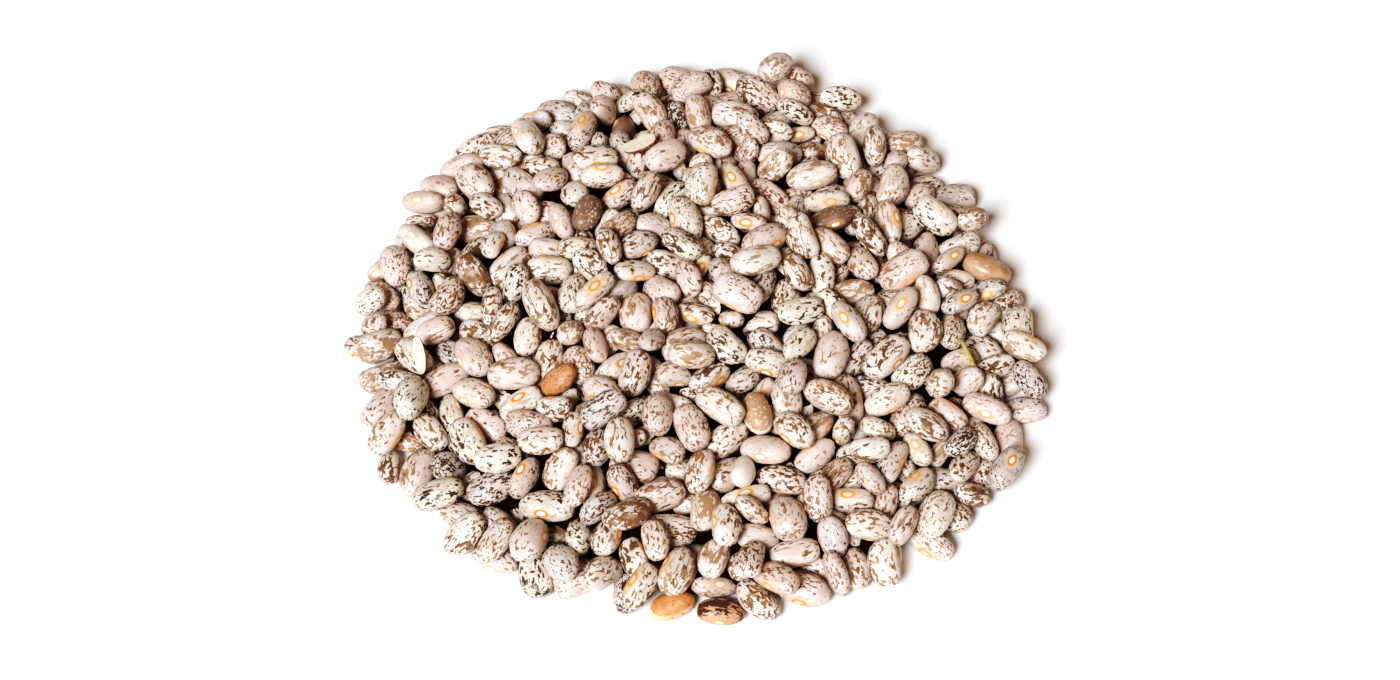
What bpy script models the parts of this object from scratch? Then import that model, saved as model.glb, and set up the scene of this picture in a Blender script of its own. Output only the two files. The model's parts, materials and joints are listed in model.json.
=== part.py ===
"""A heap of dried pinto beans, lying loose on a flat surface.

The heap is one solid: a low core with a flat underside, and the beans that show fused onto it,
each at its true size and in the place where it came to rest.
"""

import math
from collections import namedtuple

import bmesh
import bpy
import numpy as np
from mathutils import Matrix

# The heap, in metres: its radius, and the height between the beans at its middle and at its edge
HEAP_RADIUS = 0.1065
HEAP_CREST = 0.0215
EDGE_LAYER = 0.0058
SLOPE_POWER = 2.2
CREST_POWER = 0.85
EDGE_WAVES = ((2, 0.015, 2.5), (3, 0.025, 2.0), (4, 0.014, 1.5), (5, 0.010, 0.8))
HEAP_SEED = 7

# One bean, in metres, and how far beans differ in size and in how they lie
BEAN_LENGTH = 0.0138
LENGTH_SPREAD = 0.0014
SHORTEST_BEAN = 0.0100
LONGEST_BEAN = 0.0172
WIDTH_SHARE = 0.65
WIDTH_SPREAD = 0.04
THICKNESS_SHARE = 0.77
THICKNESS_SPREAD = 0.05
FULLNESS = 0.8
KIDNEY_BEND = 0.10
ROLL_SPREAD = math.radians(45)
PITCH_SPREAD = math.radians(18)

# Beans that lie out at the edge: bearing in degrees, distance, way round in degrees, length
EDGE_BEANS = (
    (-151, 0.1050, 86, 0.0107),
    (-147, 0.0990, 77, 0.0166),
    (-125, 0.1025, -17, 0.0140),
    (-94, 0.1000, 23, 0.0132),
    (-86, 0.1020, -6, 0.0136),
    (-72, 0.1000, -18, 0.0160),
    (-62, 0.0990, -79, 0.0134),
    (-49, 0.1050, -35, 0.0138),
    (-24, 0.1030, 86, 0.0150),
    (-17, 0.1040, 4, 0.0138),
    (-4, 0.1025, 62, 0.0122),
    (33, 0.0990, 10, 0.0138),
    (84, 0.1065, -14, 0.0148),
    (112, 0.1045, -37, 0.0126),
    (128, 0.1035, -10, 0.0128),
    (-176, 0.1035, -29, 0.0128),
)

# How beans come to rest: a map of heights, and the small moves that each bean makes on it
CELL = 0.0005
HALF_MAP = 0.130
MAP_CELLS = round(2 * HALF_MAP / CELL)
PATCH = 19
SKIN_GAP = 1.03
LEAST_ROOM = 0.0022
ROOM_CELLS = 7
DROP_CHOICES = 160
DROP_SCATTER = 0.0030
IDLE_DROPS = 60
MOVES = 10
TRIES = 16
SHIFTS = (0.0034, 0.0004)
TWISTS = (math.radians(25), math.radians(3))
EDGE_INSET = 0.0055
EDGE_STRAY = 0.0020
OUTSIDE_EFFORT = 3

# The solid: the core's rings and depth under the beans, and the few-sided beans on it
CORE_SECTORS = 36
CORE_RINGS = 8
CORE_INSET = 0.0062
CORE_SKIRT = 0.0026
CORE_DEPTH = 0.0019
CORE_LEAST = 0.0028
CORE_CELLS = 8
BEAN_SIDES = 6
BEAN_RINGS = (50, 130)
EDGE_BAND = 0.0110
EDGE_SPACING = 0.0075
TOP_SPACING = 0.0093
FLOOR_GAP = 0.0002
LEAST_SHOWN = 120
MOST_RAISED = 0.0016
MOST_SUNK = 0.0022
BEAN_COLOUR = (0.60, 0.45, 0.34, 1)
BEAN_ROUGHNESS = 0.42

Bean = namedtuple("Bean", "place turn half")
ROWS, COLUMNS = np.mgrid[-PATCH : PATCH + 1, -PATCH : PATCH + 1]


def turns_from(vectors):
    """A turning matrix for each rotation vector."""
    angle = np.linalg.norm(vectors, axis=1)
    x, y, z = (vectors / np.maximum(angle, 1e-12)[:, None]).T
    c, s = np.cos(angle), np.sin(angle)
    d = 1 - c
    rows = (
        (c + x * x * d, x * y * d - z * s, x * z * d + y * s),
        (y * x * d + z * s, c + y * y * d, y * z * d - x * s),
        (z * x * d - y * s, z * y * d + x * s, c + z * z * d),
    )
    return np.moveaxis(np.array(rows), 2, 0)


def turn_of(yaw, pitch, roll):
    """How a bean lies: its long axis turned and tilted, and the bean rolled about it."""
    about_z, about_y, about_x = turns_from(np.array([[0, 0, yaw], [0, pitch, 0], [roll, 0, 0]]))
    return about_z @ about_y @ about_x


def heap_edge(bearing):
    """Distance from the middle of the heap to its uneven edge."""
    wave = sum(size * np.cos(turns * bearing + start) for turns, size, start in EDGE_WAVES)
    return HEAP_RADIUS * (1 + wave)


def heap_level(distance, edge):
    """Height that the heap is filled up to."""
    share = np.clip(1 - (distance / edge) ** SLOPE_POWER, 0, 1)
    return np.maximum(HEAP_CREST * share**CREST_POWER, EDGE_LAYER)


def cells_of(places):
    """Column and row of the map under each place."""
    cells = np.round((places + HALF_MAP) / CELL).astype(int)
    return np.clip(cells, PATCH + 1, MAP_CELLS - PATCH - 2)


def patch_of(field, cell):
    """The part of the map that one bean can cover."""
    column, row = cell
    return field[row - PATCH : row + PATCH + 1, column - PATCH : column + PATCH + 1]


def skins_of(turns, half):
    """Heights of a bean's underside and top over its patch, and where it covers it, for each turn."""
    form = np.einsum("kij,j,klj->kil", turns, (SKIN_GAP * half) ** -2.0, turns)
    form = form[:, :, :, None, None]
    x, y = COLUMNS * CELL, ROWS * CELL
    lean = form[:, 0, 2] * x + form[:, 1, 2] * y
    flat = form[:, 0, 0] * x * x + 2 * form[:, 0, 1] * x * y + form[:, 1, 1] * y * y - 1
    square = lean * lean - form[:, 2, 2] * flat
    root = np.sqrt(np.maximum(square, 0))
    return (-lean - root) / form[:, 2, 2], (-lean + root) / form[:, 2, 2], square > 0


def bean_size(length, rng):
    """Half the length, width and thickness of a bean."""
    width = length * rng.normal(WIDTH_SHARE, WIDTH_SPREAD)
    thickness = width * rng.normal(THICKNESS_SHARE, THICKNESS_SPREAD)
    return np.array([length, width, thickness]) / 2


def lay(heights, place, turn, half, moves, rng):
    """Lets a bean down on the heap. It keeps each small move that lets it lie lower."""
    stray = rng.normal(0, EDGE_STRAY)
    best = None
    for move in range(moves + 1):
        share = move / (moves + 1)
        tries = TRIES if move else 1
        shifts = rng.normal(0, np.interp(share, (0, 1), SHIFTS), (tries, 2)) * bool(move)
        twists = rng.normal(0, np.interp(share, (0, 1), TWISTS), (tries, 3)) * bool(move)
        turns = turns_from(twists) @ turn
        cells = cells_of(place + shifts)
        places = cells * CELL - HALF_MAP
        under, over, inside = skins_of(turns, half)
        below = np.stack([patch_of(heights, cell) for cell in cells])
        rest = np.where(inside, below - under, 0).max(axis=(1, 2))
        distance = np.hypot(*places.T)
        limit = heap_edge(np.arctan2(places[:, 1], places[:, 0])) - EDGE_INSET + stray
        effort = rest + OUTSIDE_EFFORT * np.maximum(0, distance - limit)
        pick = int(effort.argmin())
        if best is None or effort[pick] < best[0]:
            place, turn = places[pick], turns[pick]
            best = effort[pick], rest[pick], cells[pick], over[pick], inside[pick]
    _, height, cell, over, inside = best
    patch = patch_of(heights, cell)
    np.maximum(patch, np.where(inside, over + height, 0), out=patch)
    return Bean(np.append(place, height), turn, half)


def room_in(heights, places):
    """How far the heap still is below its level at each place, and how high it stands there."""
    distance = np.hypot(*places.T)
    edge = heap_edge(np.arctan2(places[:, 1], places[:, 0]))
    around = ROOM_CELLS
    filled = [
        heights[row - around : row + around + 1, column - around : column + around + 1].mean()
        for column, row in cells_of(places)
    ]
    return heap_level(distance, edge) - filled, np.array(filled)


def heap_of_beans():
    """Every bean of the heap, laid one at a time where there is room, lowest place first."""
    rng = np.random.default_rng(HEAP_SEED)
    heights = np.zeros((MAP_CELLS, MAP_CELLS))
    beans = []
    for bearing, distance, way, length in EDGE_BEANS:
        angle = math.radians(bearing)
        place = distance * np.array([math.cos(angle), math.sin(angle)])
        turn = turn_of(math.radians(way), 0, 0)
        beans.append(lay(heights, place, turn, bean_size(length, rng), 0, rng))
    idle = 0
    while idle < IDLE_DROPS:
        bearing = rng.uniform(-math.pi, math.pi, DROP_CHOICES)
        distance = np.sqrt(rng.uniform(0, 1, DROP_CHOICES)) * (heap_edge(bearing) - EDGE_INSET)
        places = np.stack([distance * np.cos(bearing), distance * np.sin(bearing)], axis=1)
        room, filled = room_in(heights, places)
        scatter = rng.uniform(0, DROP_SCATTER, DROP_CHOICES)
        order = np.where(room > LEAST_ROOM, filled + scatter, np.inf)
        if np.isinf(order.min()):
            idle += 1
            continue
        idle = 0
        length = np.clip(rng.normal(BEAN_LENGTH, LENGTH_SPREAD), SHORTEST_BEAN, LONGEST_BEAN)
        half = bean_size(length, rng)
        yaw = rng.uniform(-math.pi, math.pi)
        turn = turn_of(yaw, rng.normal(0, PITCH_SPREAD), rng.normal(0, ROLL_SPREAD))
        beans.append(lay(heights, places[order.argmin()], turn, half, MOVES, rng))
    return beans


def extents_of(bean):
    """How far a bean reaches from its middle along X, Y and Z."""
    return np.sqrt(((bean.turn * bean.half) ** 2).sum(axis=1))


def middle_of(beans):
    """The middle of the heap's box, on the surface that it lies on."""
    low = np.min([bean.place - extents_of(bean) for bean in beans], axis=0)
    high = np.max([bean.place + extents_of(bean) for bean in beans], axis=0)
    return np.append((low + high)[:2] / 2, 0)


def seen_from_above(beans):
    """The map of the heap's surface, and how many of its cells each bean shows in."""
    surface = np.zeros((MAP_CELLS, MAP_CELLS))
    owner = np.full(surface.shape, -1)
    for index, bean in enumerate(beans):
        _, over, inside = skins_of(bean.turn[None], bean.half)
        cell = cells_of(bean.place[:2])
        patch = patch_of(surface, cell)
        top = np.where(inside[0], over[0] + bean.place[2], 0)
        higher = top > patch
        patch[higher] = top[higher]
        patch_of(owner, cell)[higher] = index
    return surface, np.bincount(owner[owner >= 0], minlength=len(beans))


def core_height(surface, place):
    """Height of the core's top: a little under the mean surface of the beans round a place."""
    column, row = cells_of(place)
    around = CORE_CELLS
    near = surface[row - around : row + around + 1, column - around : column + around + 1]
    return max(float(near.mean()) - CORE_DEPTH, CORE_LEAST)


def core_object(surface):
    """The core: rings of points that follow the heap's surface, over a flat underside."""
    form = bmesh.new()
    bearings = [2 * math.pi * step / CORE_SECTORS for step in range(CORE_SECTORS)]
    middle = form.verts.new((0, 0, core_height(surface, np.zeros(2))))
    rings = []
    for ring in range(1, CORE_RINGS + 2):
        points = []
        for bearing in bearings:
            reach = heap_edge(bearing) - CORE_INSET
            distance = reach * ring / CORE_RINGS if ring <= CORE_RINGS else reach + CORE_SKIRT
            place = distance * np.array([math.cos(bearing), math.sin(bearing)])
            height = core_height(surface, place) if ring <= CORE_RINGS else 0
            points.append(form.verts.new((*place, height)))
        rings.append(points)
    for step in range(CORE_SECTORS):
        after = (step + 1) % CORE_SECTORS
        form.faces.new((middle, rings[0][step], rings[0][after]))
        for inner, outer in zip(rings, rings[1:]):
            form.faces.new((inner[step], outer[step], outer[after], inner[after]))
    form.faces.new(rings[-1][::-1])
    bmesh.ops.triangulate(form, faces=form.faces[:])
    bmesh.ops.recalc_face_normals(form, faces=form.faces[:])
    return object_from(form, "bean_heap")


def bean_object(bean, name):
    """One few-sided bean: rings round its long axis between two ends, bent like a kidney."""
    long, wide, thick = bean.half
    form = bmesh.new()

    def point(along, across, up):
        bend = KIDNEY_BEND * long * (1 / 3 - (along / long) ** 2)
        x, y, z = bean.place + bean.turn @ np.array([along, across + bend, up])
        return form.verts.new((x, y, max(z, FLOOR_GAP)))

    first, last = point(-long, 0, 0), point(long, 0, 0)
    sides = [2 * math.pi * side / BEAN_SIDES for side in range(BEAN_SIDES)]
    flat = thick / math.sin(sides[1])
    rings = []
    for angle in map(math.radians, BEAN_RINGS):
        along = -long * math.cos(angle)
        girth = math.sin(angle) ** FULLNESS
        rings.append([
            point(along, girth * wide * math.cos(side), girth * flat * math.sin(side))
            for side in sides
        ])
    for side in range(BEAN_SIDES):
        after = (side + 1) % BEAN_SIDES
        form.faces.new((first, rings[0][side], rings[0][after]))
        form.faces.new((last, rings[-1][after], rings[-1][side]))
        for near, far in zip(rings, rings[1:]):
            form.faces.new((near[side], far[side], far[after], near[after]))
    bmesh.ops.triangulate(form, faces=form.faces[:])
    bmesh.ops.recalc_face_normals(form, faces=form.faces[:])
    return object_from(form, name)


def object_from(form, name):
    """An object with its own mesh of this form."""
    mesh = bpy.data.meshes.new(name)
    form.to_mesh(mesh)
    form.free()
    return bpy.data.objects.new(name, mesh)


def beans_to_fuse(beans, surface, seen):
    """The beans of the solid: those at the edge, then those that show most, spread evenly."""
    edge, top = [], []
    for index in np.argsort(-seen, kind="stable"):
        bean = beans[index]
        x, y, z = bean.place
        level = core_height(surface, bean.place[:2])
        lowered = max(min(z, level + MOST_RAISED), extents_of(bean)[2])
        bean = bean._replace(place=np.array([x, y, lowered]))
        if math.hypot(x, y) > heap_edge(math.atan2(y, x)) - EDGE_BAND:
            edge.append((bean, EDGE_SPACING))
        elif seen[index] > LEAST_SHOWN and z > level - MOST_SUNK:
            top.append((bean, TOP_SPACING))
    chosen = []
    for bean, spacing in edge + top:
        if all(np.linalg.norm(bean.place - other.place) > spacing for other in chosen):
            chosen.append(bean)
    return chosen


def fuse(core, beans):
    """Joins the beans to the core as one body, and drops loose scraps and sealed hollows."""
    group = bpy.data.collections.new("fused_beans")
    for index, bean in enumerate(beans):
        group.objects.link(bean_object(bean, f"bean_{index:03d}"))
    union = core.modifiers.new("fused beans", "BOOLEAN")
    union.operation = "UNION"
    union.operand_type = "COLLECTION"
    union.collection = group
    union.solver = "MANIFOLD"
    graph = bpy.context.evaluated_depsgraph_get()
    mesh = bpy.data.meshes.new_from_object(core.evaluated_get(graph))
    core.modifiers.remove(union)
    core.data = mesh
    for helper in list(group.objects):
        bpy.data.objects.remove(helper)
    bpy.data.collections.remove(group)
    keep_largest_body(mesh)


def keep_largest_body(mesh):
    """Drops every body of the mesh but the largest."""
    form = bmesh.new()
    form.from_mesh(mesh)
    bodies, waiting = [], set(form.verts)
    while waiting:
        body, edge = set(), {waiting.pop()}
        while edge:
            body |= edge
            edge = {bond.other_vert(vert) for vert in edge for bond in vert.link_edges} - body
        waiting -= body
        bodies.append(body)
    bodies.sort(key=len)
    bmesh.ops.delete(form, geom=[vert for body in bodies[:-1] for vert in body], context="VERTS")
    form.to_mesh(mesh)
    form.free()


def bean_material():
    """Cream seed coat of a dried pinto bean, with a low gloss."""
    material = bpy.data.materials.new("bean_coat")
    material.use_nodes = True
    shader = material.node_tree.nodes["Principled BSDF"]
    shader.inputs["Base Color"].default_value = BEAN_COLOUR
    shader.inputs["Roughness"].default_value = BEAN_ROUGHNESS
    shader.inputs["Metallic"].default_value = 0.0
    return material


for leftover in list(bpy.data.objects):
    bpy.data.objects.remove(leftover)

heap_beans = heap_of_beans()
heap_surface, cells_seen = seen_from_above(heap_beans)
heap = core_object(heap_surface)
bpy.context.scene.collection.objects.link(heap)
fuse(heap, beans_to_fuse(heap_beans, heap_surface, cells_seen))
heap.data.transform(Matrix.Translation(-middle_of(heap_beans)))
heap.data.materials.clear()
heap.data.materials.append(bean_material())
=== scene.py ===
"""A heap of dried pinto beans, lying loose on a flat surface."""

import json
import math
from collections import namedtuple

import bmesh
import bpy
import numpy as np
from mathutils import Matrix

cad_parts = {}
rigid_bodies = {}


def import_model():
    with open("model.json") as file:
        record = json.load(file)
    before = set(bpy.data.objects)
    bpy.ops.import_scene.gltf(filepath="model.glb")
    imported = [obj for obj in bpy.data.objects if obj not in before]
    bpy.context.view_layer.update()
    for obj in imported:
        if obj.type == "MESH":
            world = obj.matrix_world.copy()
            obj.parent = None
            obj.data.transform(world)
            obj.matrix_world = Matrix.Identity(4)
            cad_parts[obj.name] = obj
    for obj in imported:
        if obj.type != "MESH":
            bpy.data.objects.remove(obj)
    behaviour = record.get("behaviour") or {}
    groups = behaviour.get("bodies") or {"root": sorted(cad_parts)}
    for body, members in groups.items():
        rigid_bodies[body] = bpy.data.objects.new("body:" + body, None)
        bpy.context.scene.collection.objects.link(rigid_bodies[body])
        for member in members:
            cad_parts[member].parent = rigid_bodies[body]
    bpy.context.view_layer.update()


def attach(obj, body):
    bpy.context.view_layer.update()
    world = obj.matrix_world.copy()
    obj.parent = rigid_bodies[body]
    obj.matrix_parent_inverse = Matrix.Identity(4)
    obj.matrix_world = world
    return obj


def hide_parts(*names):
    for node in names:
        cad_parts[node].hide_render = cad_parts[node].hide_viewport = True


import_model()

# The lie of the beans. They were tipped out on a table: each one slid to the lowest place near
# where it fell, against the beans that lay there before it, so the heap is low and its edge ragged.
HEAP_RADIUS = 0.1065
HEAP_CREST = 0.0215
EDGE_LAYER = 0.0058
SLOPE_POWER = 2.2
CREST_POWER = 0.85
EDGE_WAVES = ((2, 0.015, 2.5), (3, 0.025, 2.0), (4, 0.014, 1.5), (5, 0.010, 0.8))
HEAP_SEED = 7
BEAN_LENGTH = 0.0138
LENGTH_SPREAD = 0.0014
SHORTEST_BEAN = 0.0100
LONGEST_BEAN = 0.0172
WIDTH_SHARE = 0.65
WIDTH_SPREAD = 0.04
THICKNESS_SHARE = 0.77
THICKNESS_SPREAD = 0.05
ROLL_SPREAD = math.radians(45)
PITCH_SPREAD = math.radians(18)

# The beans that lie out at the edge: bearing in degrees, distance, way round in degrees, length
EDGE_BEANS = (
    (-151, 0.1050, 86, 0.0107),
    (-147, 0.0990, 77, 0.0166),
    (-125, 0.1025, -17, 0.0140),
    (-94, 0.1000, 23, 0.0132),
    (-86, 0.1020, -6, 0.0136),
    (-72, 0.1000, -18, 0.0160),
    (-62, 0.0990, -79, 0.0134),
    (-49, 0.1050, -35, 0.0138),
    (-24, 0.1030, 86, 0.0150),
    (-17, 0.1040, 4, 0.0138),
    (-4, 0.1025, 62, 0.0122),
    (33, 0.0990, 10, 0.0138),
    (84, 0.1065, -14, 0.0148),
    (112, 0.1045, -37, 0.0126),
    (128, 0.1035, -10, 0.0128),
    (-176, 0.1035, -29, 0.0128),
)

# A map of heights, and the small moves that each bean makes on it as it comes to rest
CELL = 0.0005
HALF_MAP = 0.130
MAP_CELLS = round(2 * HALF_MAP / CELL)
PATCH = 19
SKIN_GAP = 1.03
LEAST_ROOM = 0.0022
ROOM_CELLS = 7
DROP_CHOICES = 160
DROP_SCATTER = 0.0030
IDLE_DROPS = 60
MOVES = 10
TRIES = 16
SHIFTS = (0.0034, 0.0004)
TWISTS = (math.radians(25), math.radians(3))
EDGE_INSET = 0.0055
EDGE_STRAY = 0.0020
OUTSIDE_EFFORT = 3
LEAST_TURN = 1e-12

Bean = namedtuple("Bean", "place turn half")
ROWS, COLUMNS = np.mgrid[-PATCH : PATCH + 1, -PATCH : PATCH + 1]


def turns_from(vectors):
    """A turning matrix for each rotation vector."""
    angle = np.linalg.norm(vectors, axis=1)
    x, y, z = (vectors / np.maximum(angle, LEAST_TURN)[:, None]).T
    cosine, sine = np.cos(angle), np.sin(angle)
    rest = 1 - cosine
    rows = (
        (cosine + x * x * rest, x * y * rest - z * sine, x * z * rest + y * sine),
        (y * x * rest + z * sine, cosine + y * y * rest, y * z * rest - x * sine),
        (z * x * rest - y * sine, z * y * rest + x * sine, cosine + z * z * rest),
    )
    return np.moveaxis(np.array(rows), 2, 0)


def turn_of(yaw, pitch, roll):
    """How a bean lies: its long axis turned and tilted, and the bean rolled about it."""
    about_z, about_y, about_x = turns_from(np.array([[0, 0, yaw], [0, pitch, 0], [roll, 0, 0]]))
    return about_z @ about_y @ about_x


def heap_edge(bearing):
    """Distance from the middle of the heap to its uneven edge."""
    wave = sum(size * np.cos(turns * bearing + start) for turns, size, start in EDGE_WAVES)
    return HEAP_RADIUS * (1 + wave)


def heap_level(distance, edge):
    """Height that the heap is filled up to."""
    share = np.clip(1 - (distance / edge) ** SLOPE_POWER, 0, 1)
    return np.maximum(HEAP_CREST * share**CREST_POWER, EDGE_LAYER)


def cells_of(places):
    """Column and row of the map under each place."""
    cells = np.round((places + HALF_MAP) / CELL).astype(int)
    return np.clip(cells, PATCH + 1, MAP_CELLS - PATCH - 2)


def cells_round(field, cell, reach):
    """The square of the map's cells that reaches this many cells out from one of them."""
    column, row = cell
    return field[row - reach : row + reach + 1, column - reach : column + reach + 1]


def skins_of(turns, half):
    """Heights of a bean's underside and top over its patch, and where it covers it, for each turn."""
    form = np.einsum("kij,j,klj->kil", turns, (SKIN_GAP * half) ** -2.0, turns)
    form = form[:, :, :, None, None]
    x, y = COLUMNS * CELL, ROWS * CELL
    lean = form[:, 0, 2] * x + form[:, 1, 2] * y
    flat = form[:, 0, 0] * x * x + 2 * form[:, 0, 1] * x * y + form[:, 1, 1] * y * y - 1
    square = lean * lean - form[:, 2, 2] * flat
    root = np.sqrt(np.maximum(square, 0))
    return (-lean - root) / form[:, 2, 2], (-lean + root) / form[:, 2, 2], square > 0


def bean_size(length, rng):
    """Half the length, width and thickness of a bean."""
    width = length * rng.normal(WIDTH_SHARE, WIDTH_SPREAD)
    thickness = width * rng.normal(THICKNESS_SHARE, THICKNESS_SPREAD)
    return np.array([length, width, thickness]) / 2


def lay(heights, place, turn, half, moves, rng):
    """Lets a bean down on the heap. It keeps each small move that lets it lie lower."""
    stray = rng.normal(0, EDGE_STRAY)
    best = None
    for move in range(moves + 1):
        share = move / (moves + 1)
        tries = TRIES if move else 1
        shifts = rng.normal(0, np.interp(share, (0, 1), SHIFTS), (tries, 2)) * bool(move)
        twists = rng.normal(0, np.interp(share, (0, 1), TWISTS), (tries, 3)) * bool(move)
        turns = turns_from(twists) @ turn
        cells = cells_of(place + shifts)
        places = cells * CELL - HALF_MAP
        under, over, inside = skins_of(turns, half)
        below = np.stack([cells_round(heights, cell, PATCH) for cell in cells])
        rest = np.where(inside, below - under, 0).max(axis=(1, 2))
        distance = np.hypot(*places.T)
        limit = heap_edge(np.arctan2(places[:, 1], places[:, 0])) - EDGE_INSET + stray
        effort = rest + OUTSIDE_EFFORT * np.maximum(0, distance - limit)
        pick = int(effort.argmin())
        if best is None or effort[pick] < best[0]:
            place, turn = places[pick], turns[pick]
            best = effort[pick], rest[pick], cells[pick], over[pick], inside[pick]
    _, height, cell, over, inside = best
    patch = cells_round(heights, cell, PATCH)
    np.maximum(patch, np.where(inside, over + height, 0), out=patch)
    return Bean(np.append(place, height), turn, half)


def room_in(heights, places):
    """How far the heap still is below its level at each place, and how high it stands there."""
    distance = np.hypot(*places.T)
    edge = heap_edge(np.arctan2(places[:, 1], places[:, 0]))
    filled = [cells_round(heights, cell, ROOM_CELLS).mean() for cell in cells_of(places)]
    return heap_level(distance, edge) - filled, np.array(filled)


def heap_of_beans():
    """Every bean of the heap, laid one at a time where there is room, lowest place first."""
    rng = np.random.default_rng(HEAP_SEED)
    heights = np.zeros((MAP_CELLS, MAP_CELLS))
    beans = []
    for bearing, distance, way, length in EDGE_BEANS:
        angle = math.radians(bearing)
        place = distance * np.array([math.cos(angle), math.sin(angle)])
        turn = turn_of(math.radians(way), 0, 0)
        beans.append(lay(heights, place, turn, bean_size(length, rng), 0, rng))
    idle = 0
    while idle < IDLE_DROPS:
        bearing = rng.uniform(-math.pi, math.pi, DROP_CHOICES)
        distance = np.sqrt(rng.uniform(0, 1, DROP_CHOICES)) * (heap_edge(bearing) - EDGE_INSET)
        places = np.stack([distance * np.cos(bearing), distance * np.sin(bearing)], axis=1)
        room, filled = room_in(heights, places)
        scatter = rng.uniform(0, DROP_SCATTER, DROP_CHOICES)
        order = np.where(room > LEAST_ROOM, filled + scatter, np.inf)
        if np.isinf(order.min()):
            idle += 1
            continue
        idle = 0
        length = np.clip(rng.normal(BEAN_LENGTH, LENGTH_SPREAD), SHORTEST_BEAN, LONGEST_BEAN)
        half = bean_size(length, rng)
        yaw = rng.uniform(-math.pi, math.pi)
        turn = turn_of(yaw, rng.normal(0, PITCH_SPREAD), rng.normal(0, ROLL_SPREAD))
        beans.append(lay(heights, places[order.argmin()], turn, half, MOVES, rng))
    return beans


def extents_of(bean):
    """How far a bean reaches from its middle along X, Y and Z."""
    return np.sqrt(((bean.turn * bean.half) ** 2).sum(axis=1))


def middle_of(beans):
    """The middle of the heap's box, on the surface that it lies on."""
    low = np.min([bean.place - extents_of(bean) for bean in beans], axis=0)
    high = np.max([bean.place + extents_of(bean) for bean in beans], axis=0)
    return np.append((low + high)[:2] / 2, 0)


def surface_of(beans):
    """The map of the heap's surface, and how many of its cells each bean shows in."""
    surface = np.zeros((MAP_CELLS, MAP_CELLS))
    owner = np.full(surface.shape, -1)
    for index, bean in enumerate(beans):
        _, over, inside = skins_of(bean.turn[None], bean.half)
        cell = cells_of(bean.place[:2])
        patch = cells_round(surface, cell, PATCH)
        top = np.where(inside[0], over[0] + bean.place[2], 0)
        higher = top > patch
        patch[higher] = top[higher]
        cells_round(owner, cell, PATCH)[higher] = index
    return surface, np.bincount(owner[owner >= 0], minlength=len(beans))


beans = heap_of_beans()
surface, cells_seen = surface_of(beans)
middle = middle_of(beans)

# The dark inside of the heap. Beans under the ones that show are lost in shade, so a low
# mound in painted shade, a deep brown, stands for them, a little under the surface and well inside the
# edge.
CORE_SECTORS = 96
CORE_RINGS = 30
CORE_INSET = 0.0120
CORE_DEPTH = 0.0066
CORE_LEAST = 0.0006
CORE_CELLS = 7
CORE_SHADE_BROWN = (24, 12, 6)
CORE_ROUGHNESS = 0.9
CORE_SHEEN = 0.05


def core_height(place):
    """Height of the mound under the mean surface of the beans round a place."""
    near = cells_round(surface, cells_of(place), CORE_CELLS)
    return max(float(near.mean()) - CORE_DEPTH, CORE_LEAST)


def core_object():
    """The mound: rings of points that follow the heap's surface, over a flat underside."""
    form = bmesh.new()
    middle_point = form.verts.new((0, 0, core_height(np.zeros(2))))
    rings = []
    for ring in range(1, CORE_RINGS + 2):
        points = []
        for step in range(CORE_SECTORS):
            bearing = 2 * math.pi * step / CORE_SECTORS
            distance = (heap_edge(bearing) - CORE_INSET) * min(ring / CORE_RINGS, 1)
            place = distance * np.array([math.cos(bearing), math.sin(bearing)])
            height = core_height(place) if ring <= CORE_RINGS else 0
            points.append(form.verts.new((*place, height)))
        rings.append(points)
    for step in range(CORE_SECTORS):
        after = (step + 1) % CORE_SECTORS
        form.faces.new((middle_point, rings[0][step], rings[0][after]))
        for inner, outer in zip(rings, rings[1:]):
            form.faces.new((inner[step], outer[step], outer[after], inner[after]))
    form.faces.new(rings[-1][::-1])
    bmesh.ops.recalc_face_normals(form, faces=form.faces[:])
    mesh = bpy.data.meshes.new("heap_core")
    form.to_mesh(mesh)
    form.free()
    mesh.transform(Matrix.Translation(-middle))
    mesh.shade_smooth()
    return bpy.data.objects.new("heap_core", mesh)


def shade(red, green, blue):
    """A colour given from 0 to 255, as the shader's linear colour."""
    parts = np.array([red, green, blue]) / 255
    return (*np.where(parts > 0.04045, ((parts + 0.055) / 1.055) ** 2.4, parts / 12.92), 1)


def core_painted_shade():
    """Painted shade: the deep brown of beans that get no light."""
    material = bpy.data.materials.new("painted_shade_inside")
    material.use_nodes = True
    shader = material.node_tree.nodes["Principled BSDF"]
    shader.inputs["Base Color"].default_value = shade(*CORE_SHADE_BROWN)
    shader.inputs["Roughness"].default_value = CORE_ROUGHNESS
    shader.inputs["Specular IOR Level"].default_value = CORE_SHEEN
    return material


heap_core = core_object()
heap_core.data.materials.append(core_painted_shade())
bpy.context.scene.collection.objects.link(heap_core)
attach(heap_core, "root")
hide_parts("bean_heap")

# The forms of a bean. Each is a plump seed with a scar on its hollow side, and no two are quite
# alike: ovals, long ovals, kidneys, blunt ends that grew against a neighbour, and pointed ones.
FORM_SIDES = 10
FORM_RINGS = 7
SIDE_ROUNDNESS = 0.95
HOLLOW_REACH = 0.45
BEND_BALANCE = 1 / 3
SPLIT_EDGE = math.radians(50)
SKIN_MAP = "OFBake"
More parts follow.
